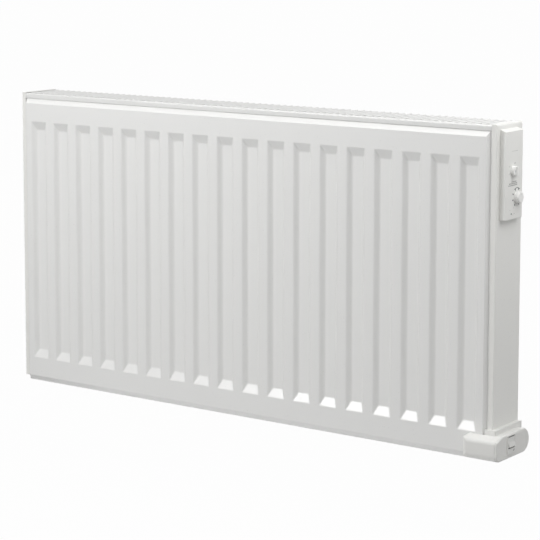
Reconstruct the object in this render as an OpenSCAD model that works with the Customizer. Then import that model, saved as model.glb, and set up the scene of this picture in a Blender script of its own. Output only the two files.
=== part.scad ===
// Electric panel heater, wall hung, with a liquid-filled ribbed panel.
// X runs along the heater, -Y is the front, +Z is up. The origin lies on the wall,
// in the middle of the four screw holes of the two wall brackets.
// Inside the modules the heater's own place is used: Y = 0 is the face of the front
// panel and Z = 0 is its lower edge. heater_frame() then moves a piece to the wall.

/* [Panel] */
// Number of upright recesses in the front panel
rib_count = 18; // [8:1:24]
// Distance from one recess to the next
rib_pitch = 50; // [44:1:60]
// Height of a panel over its welded seam
panel_height = 495; // [400:1:600]
// Thickness of the pressed steel sheet
sheet_t = 1.2; // [1:0.1:1.5]
// Depth of the pressed form, from the face to the seam
press_depth = 7; // [5:0.5:9]
// Width of a recess at the face
recess_w = 35; // [30:1:38]
// Width of the flat floor of a recess
recess_floor_w = 18; // [12:1:22]
// Height of the sloped end of a recess
recess_end = 14; // [8:1:20]
// Distance from the panel's lower edge to the recesses
recess_low = 42; // [34:0.5:60]
// Distance from the recesses to the panel's upper edge
recess_high = 40.5; // [34:0.5:60]
// Flat face left beside the outermost recess
flat_margin = 10.5; // [8:0.5:20]
// Width of the sloped border at the ends
bevel_x = 3.5; // [2:0.5:8]
// Height of the sloped border above and below
bevel_z = 7.8; // [5:0.1:10]
// Width of the welded seam outside the sloped border
seam_w = 1.7; // [1:0.1:3]

/* [Casing] */
// Thickness of the sheet of the casing
cover_t = 1; // [0.8:0.1:1.2]
// Depth of the casing, from its front to its back
casing_depth = 77.2; // [70:0.1:110]
// Width of the strip that a side cover shows in front
strip_w = 8.9; // [7:0.1:16]
// Dark gap between the panel's seam and a side cover
edge_gap = 0.4; // [0.4:0.1:3]
// Height of the grille above the panel's upper edge
grille_rise = 7; // [5:0.5:12]
// Height of a side cover's top above the grille
cover_lip = 1.5; // [1:0.5:5]
// Height of a side cover's lower edge above the panel's lower edge
cover_foot = 7; // [2:0.5:20]
// Radius of a side cover's outer top edge
cover_r = 3.5; // [2:0.5:6]

/* [Grille] */
// Distance from one slot to the next
slot_pitch = 12.5; // [10:0.5:20]
// Width of a slot
slot_w = 8; // [5:0.5:9]
// Height of the rounded crown of a bar
bar_crown = 1.3; // [0.6:0.1:2]
// Depth of the turned-down edge of a slot
slot_lip = 3; // [1.5:0.5:5]
// Plain strip in front of the slots
slot_front = 7; // [6:0.5:15]
// Plain strip behind the slots
slot_back = 4; // [3:0.5:15]
// Height of the grille's front flange
grille_flange = 8.2; // [6:0.1:12]

/* [Convector] */
// Depth of the fins behind the front panel
fin_depth = 30; // [15:1:40]
// Thickness of the fin sheet
fin_t = 0.6; // [0.4:0.1:1]
// Width of the foot that is welded to the panel
fin_foot = 12; // [8:1:14]

/* [Wall brackets] */
// Distance between the two brackets
bracket_span = 600; // [300:50:700]
// Distance between the two screw holes of a bracket
bracket_hole_span = 280; // [200:10:300]
// Diameter of a screw hole
bracket_hole_d = 6.5; // [4:0.5:9]
// Width of a bracket
bracket_w = 30; // [20:1:45]
// Thickness of a bracket
bracket_t = 2; // [1.5:0.5:3]
// Free space between the casing and the wall
wall_gap = 20; // [16:1:40]

/* [Control box] */
// Width of the box, along the heater's depth
control_w = 53.6; // [53:0.2:57]
// Height of the box's face
control_h = 131.5; // [120:0.5:150]
// How far the box stands out of the side cover
control_out = 9.2; // [7:0.1:14]
// Distance from the panel's upper edge down to the foot of the box
control_drop = 134.6; // [134:0.2:160]
// Height of the slope on top of the box
control_slope = 3.5; // [1:0.5:6]
// Wall of the plastic cover
plastic_t = 2; // [1.5:0.1:2.5]
// Radius of the mode knob
mode_r = 7.5; // [5:0.5:8]
// Height of the mode knob
mode_h = 8; // [6:0.5:12]
// Radius of the temperature knob
temp_r = 9; // [7:0.5:11]
// Height of the temperature knob
temp_h = 7; // [6:0.5:12]
// Radius of the knobs' shafts
shaft_r = 3; // [2.5:0.1:3.5]

/* [Connection box] */
// Radius of the rounded back of the box, half of its height
box_r = 18.5; // [17.5:0.5:20]
// How far the box stands out of the side cover
box_out = 19; // [14:0.1:24]
// Length of the nose in front of the panel
nose_len = 41; // [25:1:60]
// How far the nose stands out in front of the panel
nose_out = 16.8; // [15:0.1:24]
// Height of the collar above the box
collar_h = 7.2; // [3:0.1:12]
// Width of the opening for the rocker
rocker_w = 19; // [16:0.5:22]
// Height of the opening for the rocker
rocker_h = 18.8; // [17:0.1:19]
// Radius of the hole for the mains cable
cable_r = 3.6; // [3:0.1:4.5]

/* [Hidden] */

enamel = "white";
plastic = "whitesmoke";
steel = "silver";
eps = 0.01;
smooth = 48;

// Panels
panel_t = 2 * (press_depth + sheet_t);
recess_span = (rib_count - 1) * rib_pitch + recess_w;
flat_half = recess_span / 2 + flat_margin;
panel_half = flat_half + bevel_x + seam_w;
flat_bottom = seam_w + bevel_z;
flat_top = panel_height - flat_bottom;
recess_bottom = recess_low;
recess_top = panel_height - recess_high;

// Casing
seat_gap = 0.2;
cover_front = press_depth - seat_gap - cover_t;
cover_back = cover_front + casing_depth;
cover_inner = panel_half + edge_gap;
casing_half = cover_inner + strip_w;
grille_top = panel_height + grille_rise;
cover_top = grille_top + cover_lip;
rear_y = cover_back - cover_t - panel_t;
gap_mid_y = (panel_t + rear_y) / 2;

// Wall
wall_y = cover_back + wall_gap;
hang_z = panel_height / 2 + 3.5;

// Hooks of the wall brackets, below and above the panel's middle
hook_low = 158;
hook_high = 168;
hook_heights = [panel_height / 2 - hook_low, panel_height / 2 + hook_high];
pad_t = 1.5;

// Convector
fin_run = 10;

// Pipes
pipe_r = 12;
pipe_wall = 1.5;
stub_r = 8;
pipe_z = 25;
pipe_end_x = flat_half - 24;
stub_x = pipe_end_x - 16;
link_z = panel_height - 25;

// Heating element
rod_r = 3.25;
rod_offset = 5.5;
element_reach = 700;

// Control box
control_y0 = 14.4;
control_undercut = 1.7;
control_z0 = panel_height - control_drop;
control_z1 = control_z0 + control_h;
control_mid_y = control_y0 + control_w / 2;
control_face_x = casing_half + control_out;
control_edge_r = 1.6;
control_corner_r = 3.5;
mode_y = control_mid_y - 2.7;
mode_z = control_z0 + 0.555 * control_h;
temp_y = control_mid_y + 9.8;
temp_z = control_z0 + 0.247 * control_h;
knob_gap = 0.4;
shaft_gap = 0.05;
bush_r = shaft_r + 1.6;
tray_y0 = panel_t + 6.4;
tray_y1 = rear_y - 5;
tray_z0 = control_z0 + 6;
tray_z1 = control_z1 - 5;
tray_depth = 26;
tray_t = 1.5;
tray_x0 = casing_half - cover_t - tray_depth;
board_t = 1.6;
board_x = tray_x0 + tray_t + 2;
part_x = board_x + board_t;
mode_body_r = 9;
temp_body_r = 7.5;
relay_z1 = tray_z1 - 10;
relay_z0 = relay_z1 - 16;
indicator_y = control_y0 + 20.3;
indicator_z = control_z0 + 9;
indicator_r = 1.3;
screw_r = 1.5;

// Connection box
box_z = 4.3 + box_r;
box_front_r = 11;
box_front_y = box_front_r - nose_out;
box_front_z = [box_z - box_r + box_front_r, box_z + box_r - box_front_r];
box_back_y = cover_back + 1 - box_r;
box_end_x = casing_half + box_out;
box_cap_t = 3;
nose_x = casing_half - nose_len;
box_flat_turn = 107;
box_flat_out = 8.2;
box_nose_r = 9;
box_side_r = 10;
box_rim = 2.4;
way_y0 = 14;
way_y1 = box_back_y - 5;
way_z0 = box_z - box_r + 7;
cap_lip = 1.7;
collar_t = 7.4;
collar_back_y = cover_back - 3;
collar_x0 = cover_inner - 2.2;

// Cable gland
gland_r = cable_r + 1;
nut_r = gland_r + 1;
nut_t = 3;
gland_x = casing_half + plastic_t + 4.95;
gland_z = box_z;
gland_y = box_back_y + box_r;

// Rocker switch
bezel_t = 1.4;
bezel_front = 2.6;
bezel_back = 4.8;
bezel_top = 1.2;
bezel_bottom = 8.5;
rocker_y = 27;
rocker_z = box_z + 6.2;
switch_wall = 0.8;
switch_depth = 22;
rocker_gap = 0.4;
rocker_half_h = rocker_h / 2 - 1.9;
rocker_tilt = 7.5;
rocker_pivot_x = box_end_x - 1.6;
pin_r = 1.5;

// Moves a piece from the heater's own place to its place on the wall
module heater_frame() {
    translate([0, -wall_y, -hang_z]) children();
}

// A box given by its two corners
module block(a, b) {
    translate(a) cube([b[0] - a[0], b[1] - a[1], b[2] - a[2]]);
}

// A round bar or hole that starts at p and runs along X, Y or Z
module rod_x(p, r, len) {
    translate(p) rotate([0, 90, 0]) cylinder(r = r, h = len, $fn = smooth);
}
module rod_y(p, r, len) {
    translate(p) rotate([-90, 0, 0]) cylinder(r = r, h = len, $fn = smooth);
}
module rod_z(p, r, len) {
    translate(p) cylinder(r = r, h = len, $fn = smooth);
}

// Turns a drawing in X and Y into a bar that runs up from z0 to z1
module extrude_z(z0, z1) {
    translate([0, 0, z0]) linear_extrude(height = z1 - z0) children();
}

// Turns a drawing in Y and Z into a bar that runs from x0 to x1
module extrude_x(x0, x1) {
    translate([x0, 0, 0]) rotate([90, 0, 90]) linear_extrude(height = x1 - x0) children();
}

// Turns a drawing in X and Z into a bar that runs from y0 to y1
module extrude_y(y0, y1) {
    translate([0, y1, 0]) rotate([90, 0, 0]) linear_extrude(height = y1 - y0) children();
}

// Pressed sheet of a panel. Its face is at Y = 0 and its seam lies at the press depth.
// A wall of a recess is an S-shaped curve of wall_steps flats, from the face to the floor.
function wall_curve(half_out, half_in, deep, steps) =
    [for (i = [0:steps]) [half_out + (half_in - half_out) * i / steps,
        deep * (1 - cos(180 * i / steps)) / 2]];

function mirrored(points) = [for (i = [len(points) - 1:-1:0]) [-points[i][0], points[i][1]]];

// The hollow of a recess across its width, from above the face down to its floor
module recess_outline(half_out, half_in, top, deep, steps) {
    curve = steps == 1 ? [[half_out, 0], [half_in, deep]] : wall_curve(half_out, half_in, deep, steps);
    right = concat([[half_out, -2]], curve);
    translate([0, top]) polygon(concat(right, mirrored(right)));
}

// All recesses of a sheet at once. grow widens them for the sheet's inner side.
module recesses(grow, top, steps) {
    mid_z = (recess_bottom + recess_top) / 2;
    half_z = (recess_top - recess_bottom) / 2;
    intersection() {
        extrude_z(recess_bottom - grow - 1, recess_top + grow + 1)
            for (i = [0:rib_count - 1])
                translate([(i - (rib_count - 1) / 2) * rib_pitch, 0])
                    recess_outline(recess_w / 2 + grow, recess_floor_w / 2 + grow, top, press_depth, steps);
        translate([0, 0, mid_z])
            extrude_x(-recess_span / 2 - grow - 1, recess_span / 2 + grow + 1)
                rotate(90) mirror([0, 1])
                    recess_outline(half_z + grow, half_z - recess_end + grow, top, press_depth, 1);
    }
}

// The raised form of a sheet with its sloped border, between the planes y0 and y1
module raised_form(y0, y1, inset_x, inset_z) {
    run_x = bevel_x / press_depth;
    run_z = bevel_z / press_depth;
    x0 = flat_half + run_x * y0 - inset_x;
    x1 = flat_half + run_x * min(y1, press_depth) - inset_x;
    z0 = flat_bottom - run_z * y0 + inset_z;
    z1 = flat_bottom - run_z * min(y1, press_depth) + inset_z;
    intersection() {
        extrude_z(0, panel_height)
            polygon([[-x0, y0], [x0, y0], [x1, min(y1, press_depth)], [x1, y1], [-x1, y1],
                [-x1, min(y1, press_depth)]]);
        extrude_x(-panel_half, panel_half)
            polygon([[y0, z0], [min(y1, press_depth), z1], [y1, z1], [y1, panel_height - z1],
                [min(y1, press_depth), panel_height - z1], [y0, panel_height - z0]]);
    }
}

module pressed_sheet(steps) {
    back = press_depth + sheet_t;
    slant_x = sheet_t * sqrt(1 + pow(bevel_x / press_depth, 2));
    slant_z = sheet_t * sqrt(1 + pow(bevel_z / press_depth, 2));
    difference() {
        union() {
            block([-panel_half, press_depth, 0], [panel_half, back, panel_height]);
            raised_form(0, back, 0, 0);
        }
        difference() {
            raised_form(sheet_t, back + 1, slant_x, slant_z);
            recesses(sheet_t / 2, sheet_t, steps);
        }
        recesses(0, 0, steps);
    }
}

module front_panel_face() {
    color(enamel) heater_frame() pressed_sheet(7);
}

module front_panel_back() {
    color(enamel) heater_frame() translate([0, panel_t, 0]) mirror([0, 1, 0]) pressed_sheet(1);
}

module rear_panel_face() {
    color(enamel) heater_frame() translate([0, rear_y, 0]) pressed_sheet(1);
}

module rear_panel_back() {
    color(enamel) heater_frame() translate([0, rear_y + panel_t, 0]) mirror([0, 1, 0]) pressed_sheet(4);
}

// Folded fins with two feet each, welded to the raised strips of the front panel's back
module convector_fins() {
    slope = fin_run / fin_depth;
    wall = fin_t * sqrt(1 + slope * slope);
    foot_x = rib_pitch / 2 - 0.2;
    web_x = rib_pitch / 2 - fin_foot / 2;
    top_x = web_x - slope * (fin_depth - fin_t);
    half = [[foot_x, 0], [foot_x, fin_t], [web_x + wall - slope * fin_t, fin_t],
        [web_x - fin_run + wall, fin_depth]];
    inner = [[-web_x, 0], [-top_x, fin_depth - fin_t], [top_x, fin_depth - fin_t], [web_x, 0]];
    color(steel) heater_frame() extrude_z(recess_bottom + 20, recess_top - 12)
        for (i = [0:rib_count - 3]) translate([(i - (rib_count - 3) / 2) * rib_pitch, panel_t])
            polygon(concat(half, mirrored(half), inner));
}

// Pipe between the panels that holds the heating element, with its two cross stubs
module heater_pipe() {
    inner_r = pipe_r - pipe_wall;
    color(steel) heater_frame() difference() {
        union() {
            rod_x([-pipe_end_x, gap_mid_y, pipe_z], pipe_r, 2 * pipe_end_x);
            for (x = [-stub_x, stub_x]) rod_y([x, panel_t, pipe_z], stub_r, rear_y - panel_t);
        }
        rod_x([-pipe_end_x + 3, gap_mid_y, pipe_z], inner_r, 2 * pipe_end_x);
        for (x = [-stub_x, stub_x])
            rod_y([x, panel_t - 1, pipe_z], stub_r - pipe_wall, rear_y - panel_t + 2);
    }
}

// Two short cross pipes that join the panels at the top, each with a threaded side mouth
module upper_link_pipes() {
    color(steel) heater_frame() for (side = [-1, 1]) difference() {
        union() {
            rod_y([side * stub_x, panel_t, link_z], stub_r, rear_y - panel_t);
            translate([side * stub_x, gap_mid_y, link_z]) rotate([0, side * 90, 0])
                cylinder(r = pipe_r, h = 22, $fn = smooth);
        }
        rod_y([side * stub_x, panel_t - 1, link_z], stub_r - pipe_wall, rear_y - panel_t + 2);
        translate([side * stub_x, gap_mid_y, link_z]) rotate([0, side * 90, 0])
            cylinder(r = pipe_r - 3, h = 23, $fn = smooth);
    }
}

// Hexagon plugs in the side mouths of the upper pipes
module fill_plugs() {
    color("goldenrod") heater_frame() for (side = [-1, 1])
        translate([side * (stub_x + 22), gap_mid_y, link_z]) rotate([0, side * 90, 0]) {
            cylinder(r = pipe_r - 1, h = 4, $fn = 6);
            translate([0, 0, -10]) cylinder(r = pipe_r - 3, h = 10, $fn = smooth);
        }
}

// Hairpin of the immersion element: two long rods and a bend
module heating_element() {
    x1 = pipe_end_x;
    color("dimgray") heater_frame() {
        for (s = [-1, 1])
            rod_x([x1 - element_reach, gap_mid_y, pipe_z + s * rod_offset], rod_r, element_reach);
        translate([x1 - element_reach, gap_mid_y, pipe_z]) rotate([90, 0, 0]) rotate([0, 0, 90])
            rotate_extrude(angle = 180, $fn = smooth) translate([rod_offset, 0]) circle(r = rod_r, $fn = 24);
    }
}

// Hexagon head of the element with its insulated pins
module element_plug() {
    color("goldenrod") heater_frame() difference() {
        union() {
            translate([pipe_end_x, gap_mid_y, pipe_z]) rotate([0, 90, 0])
                cylinder(r = pipe_r + 3, h = 7, $fn = 6);
            for (s = [-1, 1])
                rod_x([pipe_end_x + 7, gap_mid_y, pipe_z + s * rod_offset], 2.2, 12);
        }
        rod_x([pipe_end_x + 8, gap_mid_y, pipe_z], 1.5, 12);
    }
}

// Short leads from the element's pins to the terminal block
module element_leads() {
    x = pipe_end_x + 19;
    color("firebrick") heater_frame() for (s = [-1, 1]) {
        z = pipe_z + s * rod_offset;
        rod_x([x, gap_mid_y, z], 1.2, 4);
        translate([x + 4, gap_mid_y, z]) sphere(r = 1.2, $fn = 24);
        rod_y([x + 4, gap_mid_y, z], 1.2, terminal_y0() - gap_mid_y);
    }
}

function terminal_y0() = gap_mid_y + 8;

// Disc cut-out on a strap on the back of the front panel
module thermal_cutout() {
    x = stub_x - 32;
    color("dimgray") heater_frame() {
        block([x - 16, panel_t, link_z - 6], [x + 16, panel_t + 1, link_z + 6]);
        rod_y([x, panel_t + 1, link_z], 8, 7);
        for (s = [-1, 1])
            block([x + s * 4 - 1, panel_t + 8, link_z - 3], [x + s * 4 + 1, panel_t + 15, link_z + 3]);
    }
}

// Top grille: bent sheet with a rounded front edge and cross slots with turned-down edges
module top_grille() {
    half = cover_inner - seat_gap;
    y0 = cover_front;
    y1 = cover_back;
    z1 = grille_top;
    edge_r = 2.2;
    slots = floor((2 * half - 12) / slot_pitch);
    slot_y0 = y0 + slot_front;
    slot_y1 = y1 - slot_back;
    bar = slot_pitch - slot_w;
    bar_r = (bar * bar / 4 + bar_crown * bar_crown) / (2 * bar_crown);
    lip_t = 0.8;
    color(enamel) heater_frame() {
        difference() {
            extrude_x(-half, half) grille_section(y0, y1, z1, edge_r);
            for (i = [0:slots - 1]) {
                x = (i - (slots - 1) / 2) * slot_pitch;
                block([x - slot_w / 2, slot_y0, z1 - cover_t - 1], [x + slot_w / 2, slot_y1, z1 + 1]);
            }
        }
        // raised crown of each bar
        extrude_y(slot_y0 - 1, slot_y1 + 1) for (i = [0:slots]) {
            x = (i - slots / 2) * slot_pitch;
            intersection() {
                translate([x, z1 + bar_crown - bar_r]) circle(r = bar_r, $fn = 32);
                translate([x - bar, z1 - cover_t / 2]) square([2 * bar, 4]);
            }
        }
        // turned-down edges beside each slot
        extrude_y(slot_y0, slot_y1) for (i = [0:slots - 1]) for (s = [-1, 1]) {
            x = (i - (slots - 1) / 2) * slot_pitch + s * (slot_w / 2 + lip_t / 2);
            translate([x - lip_t / 2, z1 - cover_t - slot_lip]) square([lip_t, slot_lip + cover_t / 2]);
        }
    }
}

// Section of the grille across the heater: front flange, rounded edge, top, back flange
module grille_section(y0, y1, z1, edge_r) {
    back_drop = z1 - (flat_top - 4);
    difference() {
        union() {
            translate([y0 + edge_r, z1 - edge_r]) circle(r = edge_r, $fn = smooth);
            translate([y0 + edge_r, z1 - cover_t]) square([y1 - y0 - edge_r, cover_t]);
            translate([y0, z1 - grille_flange]) square([cover_t, grille_flange - edge_r]);
            translate([y1 - cover_t, z1 - back_drop]) square([cover_t, back_drop]);
        }
        translate([y0 + edge_r, z1 - edge_r]) circle(r = edge_r - cover_t, $fn = smooth);
        translate([y0 + cover_t, z1 - grille_flange]) square([edge_r * 2, grille_flange - edge_r]);
        translate([y0 + edge_r, z1 - edge_r - 1]) square([edge_r, edge_r - cover_t + 1]);
    }
}

// Spring clips that hold the grille to the seam of the front panel
module grille_clips() {
    y = 2 * sheet_t + press_depth;
    t = 0.8;
    under = grille_top - cover_t;
    color(steel) heater_frame() for (x = [-0.8, -0.3, 0.3, 0.8] * flat_half) {
        block([x - 10, y, panel_height - seam_w + 0.1], [x + 10, y + t, under]);
        block([x - 10, press_depth, panel_height], [x + 10, y + t, panel_height + t]);
        block([x - 10, y, under - t], [x + 10, cover_front + slot_front - 0.4, under]);
    }
}

// Side cover: bent sheet with front strip, back strip and top lip
module cover_shell() {
    difference() {
        intersection() {
            extrude_y(cover_front, cover_back) cover_section(casing_half, cover_top, cover_r);
            extrude_z(cover_foot - 1, cover_top + 1) cover_plan(0);
        }
        intersection() {
            extrude_y(cover_front + cover_t, cover_back - cover_t)
                cover_section(casing_half - cover_t, cover_top - cover_t, cover_r - cover_t);
            extrude_z(cover_foot - 2, cover_top - cover_t + eps) cover_plan(cover_t);
        }
    }
}

// Section across the cover's length, with its rounded outer top edge
module cover_section(x1, z1, r) {
    x0 = cover_inner;
    union() {
        translate([x0 - 1, cover_foot]) square([x1 - x0 + 1, z1 - r - cover_foot]);
        translate([x0 - 1, cover_foot]) square([x1 - r - x0 + 1, z1 - cover_foot]);
        translate([x1 - r, z1 - r]) circle(r = r, $fn = smooth);
    }
}

// Plan of the cover, with small rounded upright edges
module cover_plan(inset) {
    r = 2 - inset;
    x0 = cover_inner - (inset > 0 ? 2 : 0);
    x1 = casing_half - inset;
    y0 = cover_front + inset;
    y1 = cover_back - inset;
    union() {
        translate([x0, y0]) square([x1 - r - x0, y1 - y0]);
        translate([x0, y0 + r]) square([x1 - x0, y1 - y0 - 2 * r]);
        translate([x1 - r, y0 + r]) circle(r = r, $fn = smooth);
        translate([x1 - r, y1 - r]) circle(r = r, $fn = smooth);
    }
}

module side_cover_left() {
    color(enamel) heater_frame() mirror([1, 0, 0]) cover_shell();
}

module side_cover_right() {
    x0 = casing_half - cover_t - 1;
    x1 = casing_half + 1;
    color(enamel) heater_frame() difference() {
        cover_shell();
        // opening for the parts of the control box
        block([x0, tray_y0 + tray_t, tray_z0 + tray_t], [x1, tray_y1 - tray_t, tray_z1 - tray_t]);
        for (p = control_screw_places()) rod_x([x0, p[0], p[1]], screw_r + 0.4, 3);
        // opening for the switch and the terminal block
        block([x0, way_y0 - 1, way_z0 - 1], [x1, way_y1 + 1, box_z + box_r - 1.5]);
        for (p = connection_screw_places()) rod_x([x0, p[0], p[1]], screw_r + 0.4, 3);
    }
}

// Angled clips that hold the side covers to the seam of the front panel
module cover_clips() {
    y = 2 * sheet_t + press_depth;
    t = 0.8;
    inner = casing_half - cover_t;
    color(steel) heater_frame() for (side = [-1, 1]) for (z = [0.22, 0.62] * panel_height)
        mirror([side < 0 ? 1 : 0, 0, 0]) {
            block([flat_half + bevel_x + 0.1, y, z - 10], [inner, y + t, z + 10]);
            block([inner - t, y, z - 10], [inner, y + 4, z + 10]);
        }
}

// Lugs welded to the rear panel, hung on the hooks
module hanger_lugs() {
    t = 2;
    back = cover_back - cover_t;
    color(steel) heater_frame() for (x = [-1, 1] * bracket_span / 2) for (z = hook_heights) {
        top = z + pad_t;
        block([x - 6, back, top - 12], [x + 6, back + t, top + t + 12]);
        block([x - 6, back, top], [x + 6, wall_y - 5, top + t]);
        block([x - 6, wall_y - 5 - t, top - 12], [x + 6, wall_y - 5, top + t]);
    }
}

// Wall bracket: upright strip with two hooks and two screw holes
module wall_bracket(x) {
    lip_y = wall_y - 13;
    difference() {
        union() {
            block([x - bracket_w / 2, wall_y - bracket_t, hook_heights[0] - 26],
                [x + bracket_w / 2, wall_y, hook_heights[1] + 6]);
            for (z = hook_heights) {
                block([x - 10, lip_y, z - 14], [x + 10, wall_y - bracket_t + eps, z - 14 + bracket_t]);
                block([x - 10, lip_y, z - 14], [x + 10, lip_y + bracket_t, z]);
            }
        }
        for (s = [-1, 1]) rod_y([x, wall_y - bracket_t - 1, hang_z + s * bracket_hole_span / 2],
            bracket_hole_d / 2, bracket_t + 2);
    }
}

module wall_bracket_left() {
    color(steel) heater_frame() wall_bracket(-bracket_span / 2);
}

module wall_bracket_right() {
    color(steel) heater_frame() wall_bracket(bracket_span / 2);
}

// Plastic caps on the lips of the hooks
module hook_pads() {
    lip_y = wall_y - 13;
    color("dimgray") heater_frame() for (x = [-1, 1] * bracket_span / 2) for (z = hook_heights)
        difference() {
            block([x - 10, lip_y - 1, z - 6], [x + 10, lip_y + bracket_t + 1, z + pad_t]);
            block([x - 11, lip_y, z - 7], [x + 11, lip_y + bracket_t, z]);
        }
}

// Form of the control cover: rounded edges and a sloped top
module control_form(inset, x0, x1) {
    y0 = control_y0 + inset;
    y1 = control_y0 + control_w - inset;
    z0 = control_z0 + inset;
    z1 = control_z1 - inset;
    r = control_edge_r - inset / 2;
    intersection() {
        extrude_z(z0 - 1, z1 + control_slope + 1) difference() {
            round_end(x0, x1, y0, y1, r);
            polygon([[x0 - 1, y0 - 1], [x1 - r, y0 - 1], [x1 - r, y0],
                [x0, y0 + control_undercut], [x0 - 1, y0 + control_undercut]]);
        }
        extrude_y(y0 - 1, y1 + 1) {
            polygon([[x0, z0], [x1 - r, z0], [x1 - r, z1 + control_slope * r / control_out],
                [x0, z1 + control_slope]]);
            polygon([[x0, z0 + r], [x1, z0 + r], [x1, z1], [x0, z1 + control_slope]]);
            translate([x1 - r, z0 + r]) circle(r = r, $fn = smooth);
        }
        extrude_x(x0 - 1, x1 + 1) round_box(y0, y1, z0, z1 + control_slope, control_corner_r - inset);
    }
}

// Rectangle whose two corners at x1 are rounded
module round_end(x0, x1, y0, y1, r) {
    translate([x0, y0]) square([x1 - r - x0, y1 - y0]);
    translate([x0, y0 + r]) square([x1 - x0, y1 - y0 - 2 * r]);
    for (y = [y0 + r, y1 - r]) translate([x1 - r, y]) circle(r = r, $fn = smooth);
}

// Rectangle with four rounded corners
module round_box(a0, a1, b0, b1, r) {
    translate([a0 + r, b0]) square([a1 - a0 - 2 * r, b1 - b0]);
    translate([a0, b0 + r]) square([a1 - a0, b1 - b0 - 2 * r]);
    for (a = [a0 + r, a1 - r]) for (b = [b0 + r, b1 - r]) translate([a, b]) circle(r = r, $fn = smooth);
}

function control_screw_places() =
    [for (y = [tray_y0 - 3, tray_y1 + 3]) for (z = [tray_z0 + 8, tray_z1 - 8]) [y, z]];

module control_cover() {
    inner_x = control_face_x - plastic_t;
    color(plastic) heater_frame() difference() {
        union() {
            difference() {
                control_form(0, casing_half, control_face_x);
                control_form(plastic_t, casing_half - eps, inner_x);
            }
            for (p = control_screw_places()) rod_x([casing_half, p[0], p[1]], screw_r + 1.5, control_out - 1);
        }
        for (p = control_screw_places()) rod_x([casing_half - 1, p[0], p[1]], screw_r, control_out - 1);
        rod_x([inner_x - 1, mode_y, mode_z], shaft_r + 0.6, plastic_t + 2);
        rod_x([inner_x - 1, temp_y, temp_z], shaft_r + 0.6, plastic_t + 2);
        rod_x([inner_x - 1, indicator_y, indicator_z], indicator_r + 0.05, plastic_t + 2);
    }
}

// Tray behind the side cover that holds the board, with a flange against the cover
module control_tray() {
    x1 = casing_half - cover_t;
    color(plastic) heater_frame() difference() {
        union() {
            block([tray_x0, tray_y0, tray_z0], [x1, tray_y1, tray_z1]);
            block([x1 - 1.5, tray_y0 - 3.4, tray_z0 - 3], [x1, tray_y1 + 3.4, tray_z1 + 3]);
            for (p = control_screw_places()) rod_x([x1 - 3, p[0], p[1]], 2.9, 3);
        }
        block([tray_x0 + tray_t, tray_y0 + tray_t, tray_z0 + tray_t],
            [x1 + 1, tray_y1 - tray_t, tray_z1 - tray_t]);
        for (p = control_screw_places()) rod_x([x1 - 4, p[0], p[1]], screw_r + 0.2, 6);
        rod_z([casing_half - 8, gap_mid_y + 14, tray_z0 - 4], 3.1, 8);
    }
}

// Circuit board on four posts, with its larger components
module control_board() {
    y0 = tray_y0 + tray_t + 1;
    y1 = tray_y1 - tray_t - 1;
    z0 = tray_z0 + tray_t + 1;
    z1 = tray_z1 - tray_t - 1;
    color("seagreen") heater_frame() {
        block([board_x, y0, z0], [part_x, y1, z1]);
        for (y = [y0 + 3, y1 - 3]) for (z = [z0 + 3, z1 - 3])
            rod_x([board_x - 2, y, z], 2, 2);
        rod_x([part_x - eps, y0 + 8, mode_z + mode_body_r + 4.5], 4, 11);
        block([part_x - eps, y1 - 12, relay_z0 - 9.5], [part_x + 7, y1 - 3, relay_z0 - 1.5]);
        rod_x([part_x - eps, indicator_y, indicator_z], 1.5, 5);
    }
}

module control_relay() {
    color("royalblue") heater_frame()
        block([part_x, gap_mid_y - 9, relay_z0], [part_x + 15.5, gap_mid_y + 10, relay_z1]);
}

module control_screws() {
    x = casing_half - cover_t - 3;
    color(steel) heater_frame() for (p = control_screw_places()) {
        rod_x([x - 2, p[0], p[1]], 2.8, 2);
        rod_x([x, p[0], p[1]], screw_r, 3 + cover_t + control_out - 3.5);
    }
}

// Body of a rotary part with its bushing; the shaft runs in its bore
module rotary_body(y, z, r, thick) {
    front = casing_half + 2;
    difference() {
        union() {
            rod_x([part_x, y, z], r, thick);
            rod_x([part_x + thick - eps, y, z], bush_r, front - part_x - thick);
        }
        rod_x([part_x + 3, y, z], shaft_r + shaft_gap, front - part_x);
    }
}

module shaft(y, z, knob_h) {
    rod_x([part_x + 3.3, y, z], shaft_r, control_face_x + knob_gap + knob_h - 2.5 - part_x - 3.3);
}

module mode_switch() {
    color("dimgray") heater_frame() rotary_body(mode_y, mode_z, mode_body_r, 12);
}

module mode_shaft() {
    color(steel) heater_frame() shaft(mode_y, mode_z, mode_h);
}

// Small knob with a pointer bar across it
module mode_knob() {
    x = control_face_x + knob_gap;
    disc = mode_h - 3;
    color(plastic) heater_frame() difference() {
        union() {
            rod_x([x, mode_y, mode_z], mode_r, disc);
            translate([x + disc - eps, mode_y - 1.8, mode_z - mode_r + 0.8])
                cube([3, 3.6, 2 * mode_r - 1.6]);
        }
        rod_x([x - 1, mode_y, mode_z], shaft_r, mode_h - 2.5 + 1);
    }
}

module temperature_pot() {
    color("dimgray") heater_frame() rotary_body(temp_y, temp_z, temp_body_r, 9);
}

module temperature_shaft() {
    color(steel) heater_frame() shaft(temp_y, temp_z, temp_h);
}

// Larger knob with a fluted rim and a pointer notch
module temperature_knob() {
    x = control_face_x + knob_gap;
    flutes = 20;
    color(plastic) heater_frame() difference() {
        union() {
            rod_x([x, temp_y, temp_z], temp_r, temp_h - 1);
            rod_x([x + temp_h - 1 - eps, temp_y, temp_z], temp_r - 1.5, 1);
        }
        rod_x([x - 1, temp_y, temp_z], shaft_r, temp_h - 2.5 + 1);
        for (i = [0:flutes - 1]) translate([x + 1.5, temp_y, temp_z]) rotate([i * 360 / flutes, 0, 0])
            rod_x([0, 0, temp_r + 0.35], 0.8, temp_h);
        translate([x + temp_h - 0.6, temp_y - 0.5, temp_z + 2]) cube([1, 1, temp_r]);
    }
}

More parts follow.
